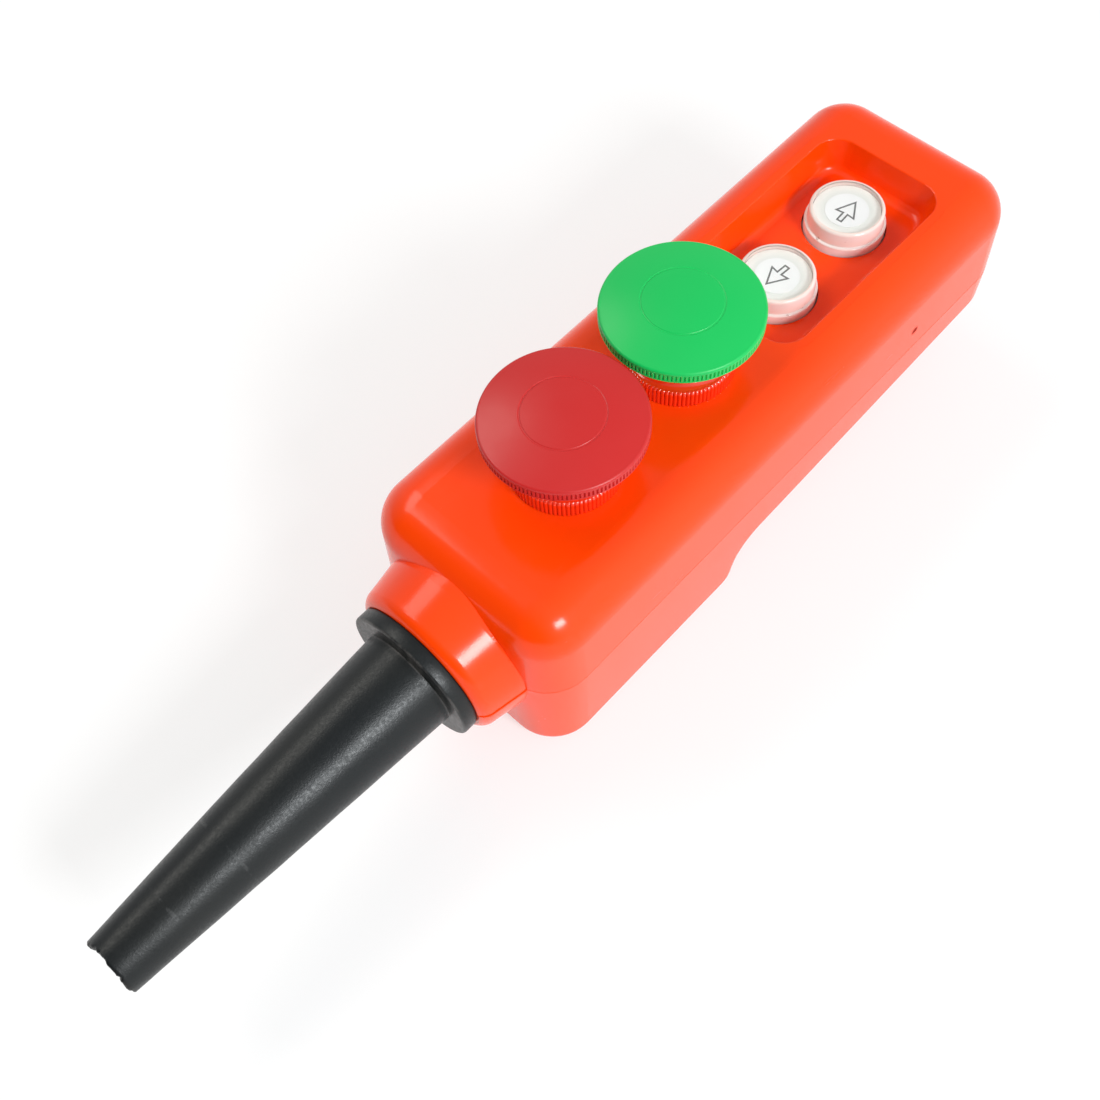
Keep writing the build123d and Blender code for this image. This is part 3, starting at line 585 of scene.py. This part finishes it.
def make_cap(side):
    """White cap seen through the clear roof, with a crisp rim."""
    low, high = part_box(f"{side}_cap")
    foot_z, ceiling_z = low.z / MM, cap_top_z - 3.0
    outer_radius, bore_radius = 9.12, 7.4
    profile = rounded([
        (0.0, cap_top_z, 0.0),
        (outer_radius, cap_top_z, 0.15),
        (outer_radius, foot_z, 0.3),
        (bore_radius, foot_z, 0.0),
        (bore_radius, ceiling_z, 0.0),
        (0.0, ceiling_z, 0.0),
    ])
    mesh = lathe(f"{side}_white_cap", profile, plan_centre(low, high))
    cap = add_piece(f"{side}_white_cap", mesh, f"{side}_button", cap_white)
    soften(cap, angle=40.0)
    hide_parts(f"{side}_cap")


def arrow_outline():
    """Corners of a plain arrow that points along x, in millimetres."""
    point_x, wing_x, notch_x, tail_x = 4.3, -1.75, -1.45, -4.45
    half_span, half_shaft = 3.2, 0.92
    upper = [(wing_x, half_span), (notch_x, half_shaft), (tail_x, half_shaft)]
    return [(point_x, 0.0)] + upper + [(x, -y) for x, y in reversed(upper)]


def make_arrow(side, turn, shift):
    """Outline arrow, printed as a thin raised line on the legend."""
    low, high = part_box(f"{side}_legend")
    middle = Vector((*plan_centre(low, high), high.z))
    line_width, ink_height = 0.5, 0.03
    corners = arrow_outline()
    count = len(corners)
    spin = Matrix.Rotation(math.radians(turn), 2)
    bm = bmesh.new()
    outer, inner = [], []
    for index in range(count):
        here = Vector(corners[index])
        before = (here - Vector(corners[index - 1])).normalized()
        after = (Vector(corners[(index + 1) % count]) - here).normalized()
        inward = Vector((-before.y, before.x)) + Vector((-after.y, after.x))
        inward *= line_width / (inward.length_squared / 2)
        for rim, spot in ((outer, here), (inner, here + inward)):
            flat = spin @ (spot + Vector(shift))
            for lift in (0.0, ink_height):
                rim.append(bm.verts.new(middle + Vector((flat.x, flat.y, lift)) * MM))
    for index in range(count):
        a, b = 2 * index, 2 * ((index + 1) % count)
        bm.faces.new((outer[a + 1], outer[b + 1], inner[b + 1], inner[a + 1]))
        bm.faces.new((outer[a], inner[a], inner[b], outer[b]))
        bm.faces.new((outer[a], outer[b], outer[b + 1], outer[a + 1]))
        bm.faces.new((inner[a], inner[a + 1], inner[b + 1], inner[b]))
    mesh = finished_mesh(f"{side}_arrow", bm)
    arrow = add_piece(f"{side}_arrow", mesh, f"{side}_button", arrow_grey)


for button in white_buttons:
    make_cover(button)
for button in white_buttons:
    make_cap(button)
make_arrow("up", turn=3.5, shift=(-0.1, -0.35))
make_arrow("down", turn=176.0, shift=(0.2, -0.1))


# ---- Ring nuts: fine knurl of round ridges with domed ends ----

def bezel_profile(foot_z, top_z, root_radius):
    """(radius, height, ridge share) rows: up the outside from the foot, then down the hole."""
    ring_z, ceiling_z = top_z - 1.15, top_z - 1.5
    dome, dome_rows, shoulder = 0.9, 6, 0.45
    foot_radius, hollow_radius, hole_radius = 13.5, 11.2, 9.1
    shelf_radius, cone_radius, cone_top_radius = 13.1, 12.0, 11.85
    ridge_start_z, ridge_end_z, ridge_rows = foot_z + 0.3, ring_z - dome, 8
    rows = [(hollow_radius, foot_z, 0.0), (foot_radius, foot_z, 0.0)]
    rows += [(root_radius, foot_z + 0.1, 0.9), (root_radius, ridge_start_z, 1.0)]
    for k in range(1, ridge_rows + 1):
        height = ridge_start_z + (ridge_end_z - ridge_start_z) * k / ridge_rows
        rows.append((root_radius, height, 1.0))
    for k in range(1, dome_rows):
        bend = math.pi / 2 * k / dome_rows
        radius = root_radius - shoulder * (1.0 - math.cos(bend))
        rows.append((radius, ring_z - dome * (1.0 - math.sin(bend)), math.cos(bend)))
    rows += [(root_radius - shoulder, ring_z, 0.0), (shelf_radius, ring_z + 0.05, 0.0)]
    rows += [(cone_radius, top_z - 0.12, 0.0), (cone_top_radius, top_z, 0.0)]
    rows += [(hole_radius + 0.3, top_z, 0.0), (hole_radius, top_z - 0.3, 0.0)]
    rows += [(hole_radius, ceiling_z, 0.0), (hollow_radius, ceiling_z, 0.0)]
    return rows


def make_bezel(side):
    """Knurled ring and its cone, turned about the button axis."""
    low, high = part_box(f"{side}_bezel")
    middle = Vector((*plan_centre(low, high), 0.0))
    teeth, steps, root_radius, ridge = 84, 10, 13.8, 0.48
    count = teeth * steps
    rings = []
    for radius, height, share in bezel_profile(low.z / MM, high.z / MM, root_radius):
        ring = []
        for k in range(count):
            angle = 2.0 * math.pi * k / count
            across = 2.0 * (k % steps) / steps - 1.0
            reach = radius + ridge * share * math.sqrt(1.0 - across * across)
            spot = Vector((reach * math.cos(angle), reach * math.sin(angle), height))
            ring.append(middle + spot * MM)
        rings.append(ring)
    mesh = skin(f"{side}_ring", rings, joined=True)
    ring = add_piece(f"{side}_ring", mesh, "housing", bezel_orange)
    soften(ring, angle=55.0)
    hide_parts(f"{side}_bezel")


for button in big_buttons:
    make_bezel(button)


# ---- Return springs: round-wire coils standing on their seats ----

def make_spring(side, wire, turns):
    """Round-wire coil standing on its seat, rising to the top of the spring part's box."""
    low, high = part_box(f"{side}_spring")
    centre = Vector((*plan_centre(low, high), 0.0))
    half_wire = wire * MM / 2
    coil_radius = (high.x - low.x) / 2 - half_wire
    foot, head = low.z + half_wire, high.z - half_wire
    steps_per_turn, around = 28, 10
    steps = steps_per_turn * turns
    rings = []
    for step in range(steps + 1):
        share = step / steps
        angle = 2 * math.pi * turns * share
        outward = Vector((math.cos(angle), math.sin(angle), 0.0))
        middle = centre + outward * coil_radius + Vector((0.0, 0.0, foot + (head - foot) * share))
        ring = []
        for k in range(around):
            turn = 2 * math.pi * k / around
            spot = outward * math.cos(turn) + Vector((0.0, 0.0, math.sin(turn)))
            ring.append(middle + spot * half_wire)
        rings.append(ring)
    mesh = skin(f"{side}_coil", rings, joined=False)
    spring = add_piece(f"{side}_coil", mesh, "housing", spring_steel)
    soften(spring, angle=50.0)
    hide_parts(f"{side}_spring")
    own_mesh(spring)


for button in big_buttons:
    make_spring(button, wire=0.9, turns=4)
for button in white_buttons:
    make_spring(button, wire=0.7, turns=5)


# ---- Studio, in metres ----

def direction(azimuth, elevation, distance=1.0):
    """A place seen from the origin under two angles in degrees."""
    a, e = math.radians(azimuth), math.radians(elevation)
    return Vector((math.cos(e) * math.cos(a), math.cos(e) * math.sin(a), math.sin(e))) * distance


def area_light(name, position, size, power, color):
    """Rectangular light aimed at the middle of the station."""
    subject = Vector((0.0, 0.0, 0.04))
    light = bpy.data.lights.new(name, "AREA")
    light.shape = "RECTANGLE"
    light.size, light.size_y = size
    light.energy = power
    light.color = color
    holder = bpy.data.objects.new(name, light)
    holder.location = position
    holder.rotation_euler = (subject - position).to_track_quat("-Z", "Y").to_euler()
    bpy.context.scene.collection.objects.link(holder)


def dimming(tree, view, toward, width, share):
    """Background level that falls by a share as the view turns toward a direction."""
    full = 1.12
    facing = tree.nodes.new("ShaderNodeVectorMath")
    facing.operation = "DOT_PRODUCT"
    tree.links.new(view, facing.inputs[0])
    facing.inputs[1].default_value = toward
    level = tree.nodes.new("ShaderNodeMapRange")
    level.inputs["From Max"].default_value = width
    level.inputs["To Min"].default_value = full
    level.inputs["To Max"].default_value = full * (1.0 - share)
    tree.links.new(facing.outputs["Value"], level.inputs["Value"])
    return level.outputs["Result"]


def studio_world():
    """White surround, dimmer past the cord end and over the far end of the housing."""
    world = bpy.data.worlds.new("studio")
    bpy.context.scene.world = world
    world.use_nodes = True
    tree = world.node_tree
    view = tree.nodes.new("ShaderNodeTexCoord").outputs["Generated"]
    both = tree.nodes.new("ShaderNodeMath")
    both.operation = "MULTIPLY"
    past_cord = dimming(tree, view, toward=(-1.0, 0.0, 0.0), width=0.75, share=0.95)
    over_far_end = dimming(tree, view, toward=direction(36.0, 52.0), width=1.0, share=0.62)
    tree.links.new(past_cord, both.inputs[0])
    tree.links.new(over_far_end, both.inputs[1])
    tree.links.new(both.outputs["Value"], tree.nodes["Background"].inputs["Strength"])
    tree.nodes["Background"].inputs["Color"].default_value = (1.0, 1.0, 1.0, 1.0)


def studio_floor():
    """Pale floor just under the station; it gives off a little light, so shadows stay faint."""
    pale, duller = (0.36, 0.36, 0.36), (0.35, 0.35, 0.35)
    half_width, gap = 4.0, 0.0005
    grid = bmesh.new()
    bmesh.ops.create_grid(grid, x_segments=1, y_segments=1, size=half_width)
    mesh = bpy.data.meshes.new("floor")
    grid.to_mesh(mesh)
    grid.free()
    floor = bpy.data.objects.new("floor", mesh)
    floor.location.z = -gap
    bpy.context.scene.collection.objects.link(floor)
    shader = Shader(
        "floor_pale",
        pale,
        roughness=0.7,
        Emission_Color=(1.0, 1.0, 1.0, 1.0),
        Emission_Strength=0.62,
    )
    shader.color(shader.mix(shader.noise(6.0), pale, duller))
    mesh.materials.append(shader.material)


def studio_camera():
    """Camera at the photograph's viewing angle, fitted to the round edges and the outline."""
    position = (-0.11339, -0.11942, 0.32558)
    yaw, pitch, roll = 0.7282642, 1.0716587, -0.0994658
    ahead = math.cos(pitch)
    forward = Vector((math.sin(yaw) * ahead, math.cos(yaw) * ahead, -math.sin(pitch)))
    level = Vector((math.cos(yaw), -math.sin(yaw), 0.0))
    upward = level.cross(forward)
    right = math.cos(roll) * level + math.sin(roll) * upward
    top = -math.sin(roll) * level + math.cos(roll) * upward
    lens = bpy.data.cameras.new("camera")
    lens.sensor_width = 36.0
    lens.lens = 42.38
    lens.clip_start = 0.01
    lens.clip_end = 20.0
    camera = bpy.data.objects.new("camera", lens)
    turned = Matrix((right, top, -forward)).transposed().to_4x4()
    camera.matrix_world = Matrix.Translation(position) @ turned
    bpy.context.scene.collection.objects.link(camera)
    bpy.context.scene.camera = camera


studio_world()
area_light(
    "side",
    position=direction(azimuth=-95.0, elevation=38.0, distance=1.2),
    size=(0.38, 0.28),
    power=10.4,
    color=(0.94, 0.98, 1.0),
)
area_light(
    "behind",
    position=direction(azimuth=100.0, elevation=52.0, distance=1.4),
    size=(1.0, 0.5),
    power=6.5,
    color=(1.0, 0.97, 0.90),
)
studio_floor()
studio_camera()
